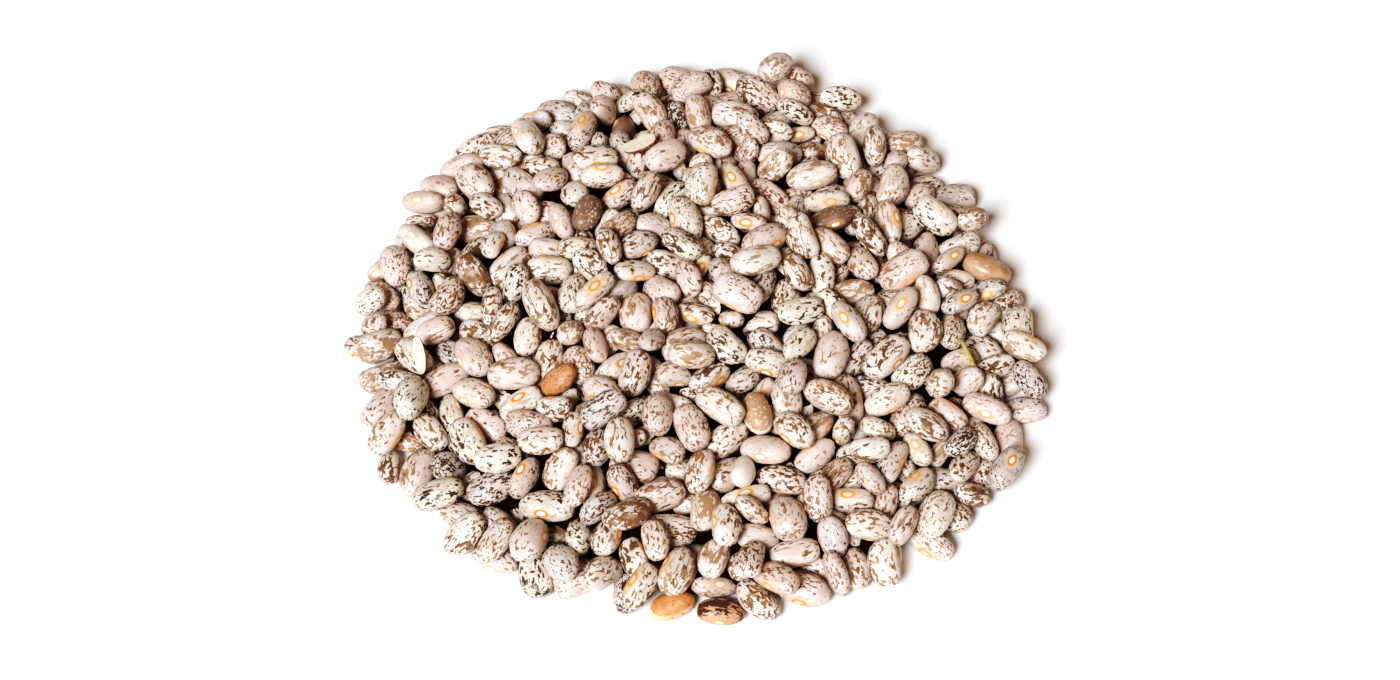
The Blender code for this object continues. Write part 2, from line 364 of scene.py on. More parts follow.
# Name, bend, hollow side, power of the first and the last end, and flatness of the broad sides
BEAN_FORMS = (
    ("form_oval", 0.06, 0.04, 0.80, 0.80, 0.95),
    ("form_plump", 0.05, 0.02, 0.72, 0.86, 0.90),
    ("form_long", 0.10, 0.06, 0.82, 0.74, 0.92),
    ("form_kidney", 0.22, 0.12, 0.78, 0.80, 0.90),
    ("form_blunt", 0.07, 0.05, 0.52, 0.84, 0.85),
    ("form_square", 0.04, 0.06, 0.55, 0.60, 0.80),
    ("form_pointed", 0.08, 0.03, 0.78, 1.05, 0.95),
    ("form_bent", 0.16, 0.10, 0.66, 0.90, 0.90),
)
SPLIT_FORM = ("form_split", 0.10, 0.08, 0.80, 0.70, 0.95)


def bean_form(name, bend, hollow, first_power, last_power, flatness, split=False):
    """A bean one unit long, wide and thick, with its scar side at -Y. A split one is its upper half."""
    form = bmesh.new()
    place = form.verts.layers.float_vector.new("place")
    skin = form.loops.layers.uv.new(SKIN_MAP)

    def point(angle, side):
        """A point of the skin, marked with where it is on the bean."""
        along = -math.cos(angle)
        power = np.interp(along, (-1, 1), (first_power, last_power))
        girth = max(math.sin(angle), 0) ** power
        across = girth * math.copysign(abs(math.cos(side)) ** SIDE_ROUNDNESS, math.cos(side))
        up = girth * math.copysign(abs(math.sin(side)) ** flatness, math.sin(side))
        across += hollow * max(-across, 0) * math.exp(-((along / HOLLOW_REACH) ** 2))
        across += bend * (BEND_BALANCE - along**2)
        if split:
            up = max(up, 0)
        vert = form.verts.new((along / 2, across / 2, up / 2))
        vert[place] = (along / 2, across / 2, up / 2)
        return vert

    def face(points, corners):
        """A face of the skin, marked with where it lies on the skin laid flat."""
        for loop, (side, ring) in zip(form.faces.new(points).loops, corners):
            loop[skin].uv = (side / FORM_SIDES, ring / (FORM_RINGS + 1))

    turns = [2 * math.pi * side / FORM_SIDES for side in range(FORM_SIDES)]
    angles = [math.pi * ring / (FORM_RINGS + 1) for ring in range(1, FORM_RINGS + 1)]
    rings = [[point(angle, turn) for turn in turns] for angle in angles]
    first, last = point(0, 0), point(math.pi, 0)
    for side in range(FORM_SIDES):
        after = (side + 1) % FORM_SIDES
        face((first, rings[0][after], rings[0][side]), ((side + 0.5, 0), (side + 1, 1), (side, 1)))
        for ring, (near, far) in enumerate(zip(rings, rings[1:]), start=1):
            corners = ((side, ring), (side + 1, ring), (side + 1, ring + 1), (side, ring + 1))
            face((near[side], near[after], far[after], far[side]), corners)
        ends = ((side, FORM_RINGS), (side + 1, FORM_RINGS), (side + 0.5, FORM_RINGS + 1))
        face((rings[-1][side], rings[-1][after], last), ends)
    mesh = bpy.data.meshes.new(name)
    form.to_mesh(mesh)
    form.free()
    mesh.shade_smooth()
    if split:
        mesh.set_sharp_from_angle(angle=SPLIT_EDGE)
    return bpy.data.objects.new(name, mesh)


bean_forms = bpy.data.collections.new("bean_forms")
for values in BEAN_FORMS:
    bean_forms.objects.link(bean_form(*values))
split_forms = bpy.data.collections.new("split_forms")
split_forms.objects.link(bean_form(*SPLIT_FORM, split=True))

# How the beans of one kind are put in place. They lie loose on each other, held by nothing but
# their weight, so each form is turned and sized as its bean was laid, and a kind is one piece.
FULLNESS = 1.035
FLOOR_GAP = 0.0001
CELL_EDGE = 0.02
CELL_SHAPE = 1.7
ROUNDING = 0.01
# What the laying is given: the name and the kind of each input
LAYING_INPUTS = (
    ("Places", "Geometry"),
    ("Forms", "Collection"),
    ("Last Form", "Int"),
    ("Fullness", "Float"),
    ("Seed", "Int"),
    ("Columns", "Int"),
    ("Rows", "Int"),
    ("Finish", "Material"),
)


def add_node(tree, kind, settings=None, **inputs):
    """A node with its settings and inputs. An input given as a socket is linked."""
    node = tree.nodes.new(kind)
    for name, value in (settings or {}).items():
        setattr(node, name, value)
    for name, value in inputs.items():
        numbered = name[0] == "i" and name[1:].isdigit()
        set_input(tree, node.inputs[int(name[1:]) if numbered else name], value)
    return node


def set_input(tree, socket, value):
    """Gives an input its value, or links it to the socket that the value comes from."""
    if isinstance(value, bpy.types.NodeSocket):
        tree.links.new(value, socket)
    else:
        socket.default_value = value


def maths(tree, operation, first, second=0.5, third=0.5):
    """One step of arithmetic on numbers."""
    node = add_node(tree, "ShaderNodeMath", {"operation": operation}, i0=first, i1=second, i2=third)
    return node.outputs[0]


def plus(tree, first, second):
    """The sum of two numbers."""
    return maths(tree, "ADD", first, second)


def times(tree, first, second):
    """The product of two numbers."""
    return maths(tree, "MULTIPLY", first, second)


def vectors(tree, operation, first, second):
    """One step of arithmetic on vectors."""
    node = add_node(tree, "ShaderNodeVectorMath", {"operation": operation}, i0=first, i1=second)
    return node.outputs[0]


def laying_tree():
    """Geometry Nodes that put a form of bean on each place, turned and sized, in one finish.

    The skins are laid flat side by side in a table of cells, one for each bean.
    """
    tree = bpy.data.node_groups.new("lay_beans", "GeometryNodeTree")
    for name, kind in LAYING_INPUTS:
        tree.interface.new_socket(name, in_out="INPUT", socket_type="NodeSocket" + kind)
    tree.interface.new_socket("Beans", in_out="OUTPUT", socket_type="NodeSocketGeometry")
    given = tree.nodes.new("NodeGroupInput").outputs
    result = tree.nodes.new("NodeGroupOutput").inputs

    def named(name):
        """A vector that each point carries."""
        settings = {"data_type": "FLOAT_VECTOR"}
        return add_node(tree, "GeometryNodeInputNamedAttribute", settings, Name=name).outputs["Attribute"]

    def drawn(kind, low, high):
        """A random draw for each point."""
        node = add_node(tree, "FunctionNodeRandomValue", {"data_type": kind}, Seed=given["Seed"])
        limits = [socket for socket in node.inputs if socket.enabled and socket.name in ("Min", "Max")]
        set_input(tree, limits[0], low)
        set_input(tree, limits[1], high)
        return next(socket for socket in node.outputs if socket.enabled)

    def stored(geometry, kind, name, value, domain="POINT"):
        """The geometry with this value kept on it by name."""
        settings = {"data_type": kind, "domain": domain}
        node = add_node(tree, "GeometryNodeStoreNamedAttribute", settings, Geometry=geometry, Name=name)
        slot = next(socket for socket in node.inputs if socket.enabled and socket.name == "Value")
        set_input(tree, slot, value)
        return node.outputs["Geometry"]

    # Each place gets its own draws, and its cell in the table of skins
    mark = drawn("FLOAT_VECTOR", (-1, -1, -1), (1, 1, 1))
    points = stored(given["Places"], "FLOAT_VECTOR", "mark", mark)
    points = stored(points, "FLOAT", "tint", drawn("FLOAT", 0, 1))
    index = add_node(tree, "GeometryNodeInputIndex").outputs[0]
    column = maths(tree, "MODULO", index, given["Columns"])
    row = maths(tree, "FLOOR", maths(tree, "DIVIDE", plus(tree, index, ROUNDING), given["Columns"]))
    corner = add_node(tree, "ShaderNodeCombineXYZ", X=column, Y=row).outputs[0]
    points = stored(points, "FLOAT_VECTOR", "cell", corner)

    # A form is laid on each place
    forms = add_node(
        tree, "GeometryNodeCollectionInfo", {"transform_space": "ORIGINAL"}, Collection=given["Forms"]
    )
    forms.inputs["Separate Children"].default_value = True
    forms.inputs["Reset Children"].default_value = True
    turned = add_node(tree, "FunctionNodeEulerToRotation", Euler=named("turn")).outputs["Rotation"]
    sized = add_node(
        tree, "ShaderNodeVectorMath", {"operation": "SCALE"}, i0=named("size"), Scale=given["Fullness"]
    )
    laid = add_node(tree, "GeometryNodeInstanceOnPoints", Points=points, Instance=forms.outputs[0])
    set_input(tree, laid.inputs["Pick Instance"], True)
    set_input(tree, laid.inputs["Instance Index"], drawn("INT", 0, given["Last Form"]))
    set_input(tree, laid.inputs["Rotation"], turned)
    set_input(tree, laid.inputs["Scale"], sized.outputs[0])
    real = add_node(tree, "GeometryNodeRealizeInstances", Geometry=laid.outputs[0]).outputs[0]

    # Each skin goes to its own cell, a little inside the cell's edge
    table = add_node(tree, "ShaderNodeCombineXYZ", X=given["Columns"], Y=given["Rows"], Z=1.0).outputs[0]
    inset = vectors(tree, "MULTIPLY", named(SKIN_MAP), (1 - 2 * CELL_EDGE, 1 - 2 * CELL_EDGE, 0))
    inset = vectors(tree, "ADD", inset, (CELL_EDGE, CELL_EDGE, 0))
    flat = vectors(tree, "DIVIDE", vectors(tree, "ADD", named("cell"), inset), table)
    real = stored(real, "FLOAT2", SKIN_MAP, flat, "CORNER")
    done = add_node(tree, "GeometryNodeSetMaterial", Geometry=real, Material=given["Finish"])
    tree.links.new(done.outputs[0], result["Beans"])
    return tree


lay_beans = laying_tree()


def piece_of(name, chosen, finish, seed, forms=bean_forms):
    """One piece of the heap: these beans in one finish, as a plain mesh that rides with the heap."""
    mesh = bpy.data.meshes.new(name)
    mesh.from_pydata([(bean.place - middle).tolist() for bean in chosen], [], [])
    turn = mesh.attributes.new("turn", "FLOAT_VECTOR", "POINT")
    size = mesh.attributes.new("size", "FLOAT_VECTOR", "POINT")
    for index, bean in enumerate(chosen):
        turn.data[index].vector = Matrix(bean.turn.tolist()).to_euler()
        size.data[index].vector = (2 * bean.half).tolist()
    carrier = bpy.data.objects.new(name + "_places", mesh)
    bpy.context.scene.collection.objects.link(carrier)
    laid = carrier.modifiers.new("lay beans", "NODES")
    laid.node_group = lay_beans
    columns = max(1, round(math.sqrt(len(chosen) / CELL_SHAPE)))
    values = {
        "Forms": forms,
        "Last Form": len(forms.objects) - 1,
        "Fullness": FULLNESS,
        "Seed": seed,
        "Columns": columns,
        "Rows": math.ceil(len(chosen) / columns),
        "Finish": finish,
    }
    for item in lay_beans.interface.items_tree:
        if item.item_type == "SOCKET" and item.name in values:
            laid[item.identifier] = values[item.name]
    graph = bpy.context.evaluated_depsgraph_get()
    mesh = bpy.data.meshes.new_from_object(carrier.evaluated_get(graph))
    bpy.data.objects.remove(carrier)
    for vertex in mesh.vertices:
        vertex.co.z = max(vertex.co.z, FLOOR_GAP)
    piece = bpy.data.objects.new(name, mesh)
    bpy.context.scene.collection.objects.link(piece)
    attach(piece, "root")
    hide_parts("bean_heap")
    return piece


# The seed coat. It is a hard, thin, slightly glossy skin: a pale ground with brown flecks drawn out
# along the bean, clear of them round the scar, which is a white oval in an orange ring.
METRES_TO_MM = 1000
MARK_REACH = 60
WOBBLE = 1.5
WOBBLE_NOISE = (0.35, 2.0)
NOISE_MEAN = 0.5
COAT_SHEEN = 0.42
GLOSS_NOISE = (0.5, 2.0)
GLOSS_CLOUD = (0.3, 0.7)
GLOSS_SPREAD = (-0.05, 0.08)
EYE_DULLNESS = 0.6
PUCKER_NOISE = (0.8, 3.0, 0.6)
PUCKER_SHARE = 0.5
RING_RISE = 0.4
RELIEF_STRENGTH = 0.28
RELIEF_DEPTH = 0.00015

Skin = namedtuple("Skin", "place across in_mm own drawn_out draws tint")


def between(tree, value, low, high, start=0.0, end=1.0):
    """A soft step from start to end as the value goes from low to high."""
    node = add_node(tree, "ShaderNodeMapRange", {"interpolation_type": "SMOOTHSTEP"}, Value=value)
    for name, number in (("From Min", low), ("From Max", high), ("To Min", start), ("To Max", end)):
        set_input(tree, node.inputs[name], number)
    return node.outputs[0]


def blend(tree, share, first, second):
    """Two colours mixed."""
    node = add_node(tree, "ShaderNodeMix", {"data_type": "RGBA"}, i0=share, i6=first, i7=second)
    return node.outputs[2]


def noise(tree, place, scale, detail=2.0, roughness=0.5, output="Fac"):
    """A cloudy pattern from 0 to 1, with features about one over scale long."""
    node = add_node(
        tree, "ShaderNodeTexNoise", Vector=place, Scale=scale, Detail=detail, Roughness=roughness
    )
    return node.outputs[output]


def skin_of(tree, stretch):
    """Where a point lies on its bean, and the bean's own draws.

    A place runs from -0.5 to 0.5 along, across and up the bean, and across is -0.5 at the scar side.
    Own places are in millimetres, and each bean's are moved to a part of the patterns of its own.
    """

    def carried(name):
        """A value that the points of the bean carry."""
        return add_node(tree, "ShaderNodeAttribute", {"attribute_name": name}).outputs

    def parts_of(vector):
        """The three numbers of a vector."""
        return add_node(tree, "ShaderNodeSeparateXYZ", Vector=vector).outputs

    place = carried("place")["Vector"]
    mark = carried("mark")["Vector"]
    in_mm = vectors(tree, "MULTIPLY", place, carried("size")["Vector"])
    in_mm = vectors(tree, "MULTIPLY", in_mm, (METRES_TO_MM,) * 3)
    own = vectors(tree, "ADD", in_mm, vectors(tree, "MULTIPLY", mark, (MARK_REACH,) * 3))
    wobble = vectors(tree, "SUBTRACT", noise(tree, own, *WOBBLE_NOISE, output="Color"), (NOISE_MEAN,) * 3)
    wobble = vectors(tree, "MULTIPLY", wobble, (WOBBLE,) * 3)
    drawn_out = vectors(tree, "MULTIPLY", vectors(tree, "ADD", own, wobble), (stretch, 1, 1))
    parts = parts_of(place)
    tint = carried("tint")["Fac"]
    return Skin(parts, parts["Y"], parts_of(in_mm), own, drawn_out, parts_of(mark), tint)


# How flecks gather: in patches, more on the back, more or fewer from bean to bean, and few by the
# scar. A pattern has a scale and a detail, and turns to marks within a narrow range above its level.
PATCH_NOISE = (0.18, 1.0)
PATCHINESS = 0.24
BACK_MARKS = 0.07
BEAN_MARKS = 0.022
FLECK_DETAIL = 1.2
FLECK_EDGE = 0.03
DOT_NOISE = (1.5, 1.0)
DOT_EDGE = 0.05
BLOTCH_DETAIL = (3.0, 0.55)
BLOTCH_EDGE = 0.035
LINE_NOISE = (0.30, 1.0)
LINE_GATHER = 0.25
LINE_WAVER = 0.05
WAVER_NOISE = (0.7, 1.0)
LINE_EDGE = (0.025, 0.012)
CLEAR_SIDE = (-0.26, -0.46)
CLEARNESS = 0.65


def coat_marks(tree, skin, fine, bold, dots, lines, fine_scale, bold_scale):
    """How strongly a point is marked, and how much of that is a large blotch."""
    patches = times(tree, plus(tree, noise(tree, skin.own, *PATCH_NOISE), -NOISE_MEAN), PATCHINESS)
    gather = plus(tree, patches, times(tree, skin.across, BACK_MARKS))
    more = times(tree, plus(tree, skin.draws["Y"], skin.draws["Z"]), BEAN_MARKS)
    gather = plus(tree, gather, more)
    small = plus(tree, noise(tree, skin.drawn_out, fine_scale, FLECK_DETAIL), gather)
    small = between(tree, small, fine, fine + FLECK_EDGE)
    dot = plus(tree, noise(tree, skin.drawn_out, *DOT_NOISE), gather)
    small = maths(tree, "MAXIMUM", small, between(tree, dot, dots, dots + DOT_EDGE))
    large = plus(tree, noise(tree, skin.drawn_out, bold_scale, *BLOTCH_DETAIL), gather)
    large = between(tree, large, bold, bold + BLOTCH_EDGE)
    marks = maths(tree, "MAXIMUM", small, large)
    if lines:
        line = plus(tree, noise(tree, skin.drawn_out, *LINE_NOISE), -NOISE_MEAN)
        line = plus(tree, maths(tree, "ABSOLUTE", line), times(tree, gather, -LINE_GATHER))
        line = plus(tree, line, times(tree, noise(tree, skin.own, *WAVER_NOISE), LINE_WAVER))
        line = between(tree, line, *(lines + edge for edge in LINE_EDGE))
        marks = maths(tree, "MAXIMUM", marks, line)
    scar_side = between(tree, skin.across, *CLEAR_SIDE)
    kept = maths(tree, "MULTIPLY_ADD", scar_side, -CLEARNESS, 1.0)
    return times(tree, marks, kept), large


# Clouds in the coat's colours: their scale and detail, and the levels they run between
GROUND_NOISE = (0.2, 2.0)
GROUND_CLOUD = (0.40, 0.66)
VEIL_SCALE = 1.3
VEIL_CLOUD = (0.48, 0.60, 0.0, 0.38)
DEPTH_NOISE = (0.55, 1.0)
DEPTH_CLOUD = (0.36, 0.64)
BEAN_DEPTH = 0.22
BLOTCH_DEPTH = -0.12


def ground_colour(tree, skin, grounds, faint, bold_scale):
    """The ground, which varies from bean to bean and in clouds, with a veil of faint marks on it."""
    ground = blend(tree, skin.tint, shade(*grounds[0]), shade(*grounds[1]))
    clouds = between(tree, noise(tree, skin.own, *GROUND_NOISE), *GROUND_CLOUD)
    ground = blend(tree, clouds, ground, shade(*grounds[2]))
    veil = between(tree, noise(tree, skin.drawn_out, bold_scale * VEIL_SCALE), *VEIL_CLOUD)
    return blend(tree, veil, ground, shade(*faint))


def mark_colour(tree, skin, large, first, second):
    """The colour of the marks, nearer the first in large blotches and nearer the second on some beans."""
    depth = plus(tree, noise(tree, skin.own, *DEPTH_NOISE), times(tree, skin.draws["X"], BEAN_DEPTH))
    depth = plus(tree, depth, times(tree, large, BLOTCH_DEPTH))
    return blend(tree, between(tree, depth, *DEPTH_CLOUD), shade(*first), shade(*second))


# The orange tinge that spreads from the scar side, the pale rim of a few beans, and the mealy inside
# of a broken one. The edges of tinge and rim waver.
EDGE_NOISE = (0.4, 2.0)
EDGE_WAVER = 0.30
TINGE = (224, 166, 112)
TINGE_SIDE = (0.18, 0.36)
TINGE_BEANS = (-0.5, 0.8)
RIM_WAVER = 0.25
RIM_LEVEL = (0.25, 0.19)
FLESH_NOISE = (0.5, 3.0)
FLESH_CLOUD = (0.35, 0.65)
CUT_LEVEL = (0.05, 0.03)


def tinged(tree, skin, coat, waver, blush):
    """The coat with its tinge, strong on some beans and missing on others."""
    near_scar = maths(tree, "SUBTRACT", times(tree, skin.across, -1), waver)
    near_scar = between(tree, near_scar, *TINGE_SIDE)
    strength = between(tree, skin.draws["Y"], *TINGE_BEANS, 0.0, blush)
    return blend(tree, times(tree, near_scar, strength), coat, shade(*TINGE))


def rimmed(tree, skin, coat, waver, rim):
    """The coat with a band of this colour round it, between its broad sides."""
    level = plus(tree, maths(tree, "ABSOLUTE", skin.place["Z"]), times(tree, waver, RIM_WAVER))
    return blend(tree, between(tree, level, *RIM_LEVEL), coat, shade(*rim))


def cut_open(tree, skin, coat, cut):
    """The coat above, and the inside of the bean in these colours at its flat underside."""
    grain = between(tree, noise(tree, skin.own, *FLESH_NOISE), *FLESH_CLOUD)
    flesh = blend(tree, grain, shade(*cut[0]), shade(*cut[1]))
    return blend(tree, between(tree, skin.place["Z"], *CUT_LEVEL), coat, flesh)


# The scar. Its eye is sized in millimetres. Each part is an oval: length and width as multiples of
# the eye's, and the levels between which its edge fades. How strong and how pale it is varies.
EYE_LENGTH = 1.32
EYE_WIDTH = 0.70
HALO_OVAL = (2.4, 2.2, 1.24, 1.00)
RING_OVAL = (1.70, 1.75, 1.24, 1.06)
EYE_OVAL = (1.0, 1.0, 1.20, 1.10)
SCAR_SIDE = (-0.12, -0.22)
SCAR_BEANS = (-0.9, 0.4, 0.35, 1.0)
RING_BEANS = (-0.7, 0.7)
EYE_BEANS = (-0.2, 0.9)
HALO_SHARE = 0.6
RING_SHARE = 0.9
EYE_SHARE = 0.92
HALO = (234, 186, 134)
EYE_WHITE = (246, 240, 228)
EYE_CREAM = (226, 202, 174)


def scarred(tree, skin, coat, waver, ring):
    """The coat with its scar, and how far a point lies in the ring and in the eye."""
    along = maths(tree, "DIVIDE", skin.in_mm["X"], EYE_LENGTH)
    up = maths(tree, "DIVIDE", skin.in_mm["Z"], EYE_WIDTH)
    faces_out = between(tree, skin.across, *SCAR_SIDE)

    def squared(way, reach):
        """The square of how far out a point lies, as a share of this reach."""
        return maths(tree, "POWER", maths(tree, "DIVIDE", maths(tree, "ABSOLUTE", way), reach), 2.0)

    def oval(length, width, outside, inside):
        """One inside an oval round the eye, and nought outside it."""
        square = plus(tree, squared(along, length), squared(up, width))
        distance = plus(tree, maths(tree, "SQRT", square), waver)
        return times(tree, between(tree, distance, outside, inside), faces_out)

    halo, band, eye = oval(*HALO_OVAL), oval(*RING_OVAL), oval(*EYE_OVAL)
    strength = between(tree, skin.draws["X"], *SCAR_BEANS)
    orange = between(tree, skin.draws["Z"], *RING_BEANS)
    orange = blend(tree, orange, shade(*ring[0]), shade(*ring[1]))
    white = between(tree, skin.draws["Y"], *EYE_BEANS)
    white = blend(tree, white, shade(*EYE_WHITE), shade(*EYE_CREAM))
    coat = blend(tree, times(tree, halo, times(tree, strength, HALO_SHARE)), coat, shade(*HALO))
    coat = blend(tree, times(tree, band, times(tree, strength, RING_SHARE)), coat, orange)
    return blend(tree, times(tree, eye, EYE_SHARE), coat, white), band, eye


def bean_coat(name, grounds, flecks, fine=0.56, bold=0.67, dots=0.66, lines=0.0, stretch=0.52, blush=0.6,
              fine_scale=1.08, bold_scale=0.42, ring=((232, 164, 88), (214, 131, 58)), roughness=0.40,
              rim=None, cut=None):
    """A finish for one kind of bean. Lower fine and bold levels give more flecks and blotches."""
    material = bpy.data.materials.new(name)
    material.use_nodes = True
    tree = material.node_tree
    shader = tree.nodes["Principled BSDF"]
    skin = skin_of(tree, stretch)
    marks, large = coat_marks(tree, skin, fine, bold, dots, lines, fine_scale, bold_scale)
    ground = ground_colour(tree, skin, grounds, flecks[2], bold_scale)
    coat = blend(tree, marks, ground, mark_colour(tree, skin, large, flecks[0], flecks[1]))
    waver = times(tree, noise(tree, skin.own, *EDGE_NOISE), EDGE_WAVER)
    coat = tinged(tree, skin, coat, waver, blush)
    if rim:
        coat = rimmed(tree, skin, coat, waver, rim)
    coat, band, eye = scarred(tree, skin, coat, waver, ring)
    if cut:
        coat = cut_open(tree, skin, coat, cut)
    tree.links.new(coat, shader.inputs["Base Color"])

    # Gloss, and the faint pucker of a dried skin with the ring of the scar standing a little proud
    glossy, matt = (roughness + step for step in GLOSS_SPREAD)
    dull = between(tree, noise(tree, skin.own, *GLOSS_NOISE), *GLOSS_CLOUD, glossy, matt)
    dull = maths(tree, "MAXIMUM", dull, times(tree, eye, EYE_DULLNESS))
    tree.links.new(dull, shader.inputs["Roughness"])
    pucker = times(tree, noise(tree, skin.drawn_out, *PUCKER_NOISE), PUCKER_SHARE)
    relief = plus(tree, pucker, times(tree, band, RING_RISE))
    bump = add_node(
        tree, "ShaderNodeBump", Strength=RELIEF_STRENGTH, Distance=RELIEF_DEPTH, Height=relief
    )
    tree.links.new(bump.outputs[0], shader.inputs["Normal"])
    shader.inputs["Specular IOR Level"].default_value = COAT_SHEEN
    return material


# Which bean is of which kind. An odd bean is set by where it lies, in metres right of and behind
# the middle, and the bean that shows most near there is taken. The rest are shared out by a draw.
KIND_SEED = 21
NEAR = 0.009
free = set(range(len(beans)))
kind_draws = np.random.default_rng(KIND_SEED).uniform(0, 1, len(beans))


def bean_near(x, y):
    """The bean that shows most near a place on the heap, which is then taken."""
    near = [i for i in free if math.hypot(*(beans[i].place - middle)[:2] - (x, y)) < NEAR]
    found = max(near, key=lambda i: cells_seen[i])
    free.remove(found)
    return beans[found]


def edge_bean(bearing):
    """The bean laid at the edge at this bearing, which is then taken."""
    index = [values[0] for values in EDGE_BEANS].index(bearing)
    free.remove(index)
    return beans[index]


def share_of(low, high):
    """The free beans whose draw lies in this share of the heap."""
    return [beans[i] for i in sorted(free) if low <= kind_draws[i] < high]


# Whole brown beans. Their coat grew dark all over, with a few pale specks in place of brown ones,
# and it is a little glossier than the mottled one. They lie loose among the others.
brown_coat = bean_coat(
    "brown_coat",
    grounds=((134, 106, 93), (120, 94, 84), (148, 120, 106)),
    flecks=((228, 212, 196), (196, 172, 152), (110, 84, 72)),
    fine=0.72, bold=0.90, dots=0.64, stretch=0.9, blush=0.1,
    ring=((196, 146, 108), (182, 130, 94)), roughness=0.34)
brown_beans = [bean_near(-0.0195, 0.0725), bean_near(0.0373, 0.0350), bean_near(-0.0416, 0.0330)]
piece_of("brown_beans", brown_beans, brown_coat, seed=31)

# A whole tan bean near the right edge of the heap. Its coat is one plain, glossy tan with hardly a
# mark, and it lies loose like the rest.
tan_coat = bean_coat(
    "tan_coat",
    grounds=((180, 143, 114), (172, 134, 105), (192, 160, 133)),
    flecks=((222, 196, 170), (202, 172, 142), (148, 110, 80)),
    fine=0.74, bold=0.90, dots=0.74, blush=0.1, roughness=0.34)
piece_of("tan_beans", [bean_near(0.0838, 0.0169)], tan_coat, seed=32)

# A tan bean with a pale rim. Its broad sides are tan with pale specks, and a pale band runs all
# round between them, where the two halves of the seed meet.
pale_rim_coat = bean_coat(
    "pale_rim_coat",
    grounds=((180, 145, 118), (173, 137, 110), (191, 159, 133)),
    flecks=((244, 232, 216), (232, 214, 190), (160, 122, 90)),
    fine=0.70, bold=0.90, dots=0.66, stretch=0.9, blush=0.0, rim=(240, 226, 204))
piece_of("pale_rim_beans", [bean_near(0.0219, -0.0414)], pale_rim_coat, seed=36)

# An orange-brown bean. Its whole coat has the tinge that others have round the scar, with dull
# brown marks on it, and it lies loose among the others.
orange_coat = bean_coat(
    "orange_coat",
    grounds=((196, 138, 98), (186, 126, 86), (210, 158, 120)),
    flecks=((134, 104, 86), (146, 102, 74), (184, 132, 94)),
    fine=0.58, bold=0.62, dots=0.62, blush=1.0)
piece_of("orange_beans", [bean_near(-0.0411, -0.0396)], orange_coat, seed=33)

# An orange bean at the front edge. It is orange all over with a few darker clouds, a pale band runs
# round it, and it lies flat on the table.
flat_orange_coat = bean_coat(
    "flat_orange_coat",
    grounds=((214, 150, 106), (208, 142, 98), (226, 172, 128)),
    flecks=((190, 112, 64), (176, 100, 56), (196, 118, 70)),
    fine=0.66, bold=0.80, blush=0.1, rim=(236, 202, 156))
piece_of("flat_orange_beans", [edge_bean(-94)], flat_orange_coat, seed=37)

# Chestnut beans at the front and the right edge. Their coat is a reddish brown with large, very
# dark blotches. They lie flat on the table, and the one at the right is partly under another bean.
chestnut_coat = bean_coat(
    "chestnut_coat",
    grounds=((196, 146, 116), (184, 132, 104), (206, 160, 130)),
    flecks=((84, 56, 46), (98, 68, 56), (142, 100, 80)),
    fine=0.57, bold=0.55, blush=0.9)
piece_of("chestnut_beans", [edge_bean(-86), edge_bean(-4)], chestnut_coat, seed=34)

# A white bean with a yellow eye. Its coat is almost without flecks, the ring round the scar is
# yellow, and it lies loose near the front of the heap.
white_coat = bean_coat(
    "white_coat",
    grounds=((247, 242, 232), (244, 237, 224), (238, 229, 213)),
    flecks=((178, 140, 112), (160, 122, 96), (232, 218, 198)),
    fine=0.70, bold=0.90, dots=0.76, blush=0.2, ring=((240, 186, 92), (236, 176, 84)))
piece_of("white_beans", [bean_near(0.0176, -0.0701)], white_coat, seed=35)

# The pinto beans themselves. They differ in the ground of the coat and in how it is marked: most
# have short brown dashes, some are streaked, striped or marbled, and a few are almost plain.
CREAM = ((237, 231, 222), (230, 220, 209), (220, 207, 193))
PINK = ((232, 218, 212), (223, 205, 198), (211, 190, 180))
PALE = ((239, 234, 227), (231, 221, 212), (219, 206, 194))
GREY = ((225, 216, 212), (215, 203, 198), (203, 189, 182))
YELLOW = ((237, 229, 216), (229, 219, 205), (219, 206, 190))
BROWN = ((155, 116, 87), (109, 80, 61), (197, 171, 147))
TAN = ((168, 135, 109), (127, 96, 75), (201, 178, 155))
DARK = ((99, 76, 62), (78, 60, 51), (169, 148, 130))
STREAKS_ON_CREAM = {"fine": 0.60, "bold": 0.57, "stretch": 0.30, "bold_scale": 0.50}
STREAKS_ON_PINK = {"fine": 0.59, "bold": 0.58, "stretch": 0.32, "bold_scale": 0.55}
FIRST_SEED = 41
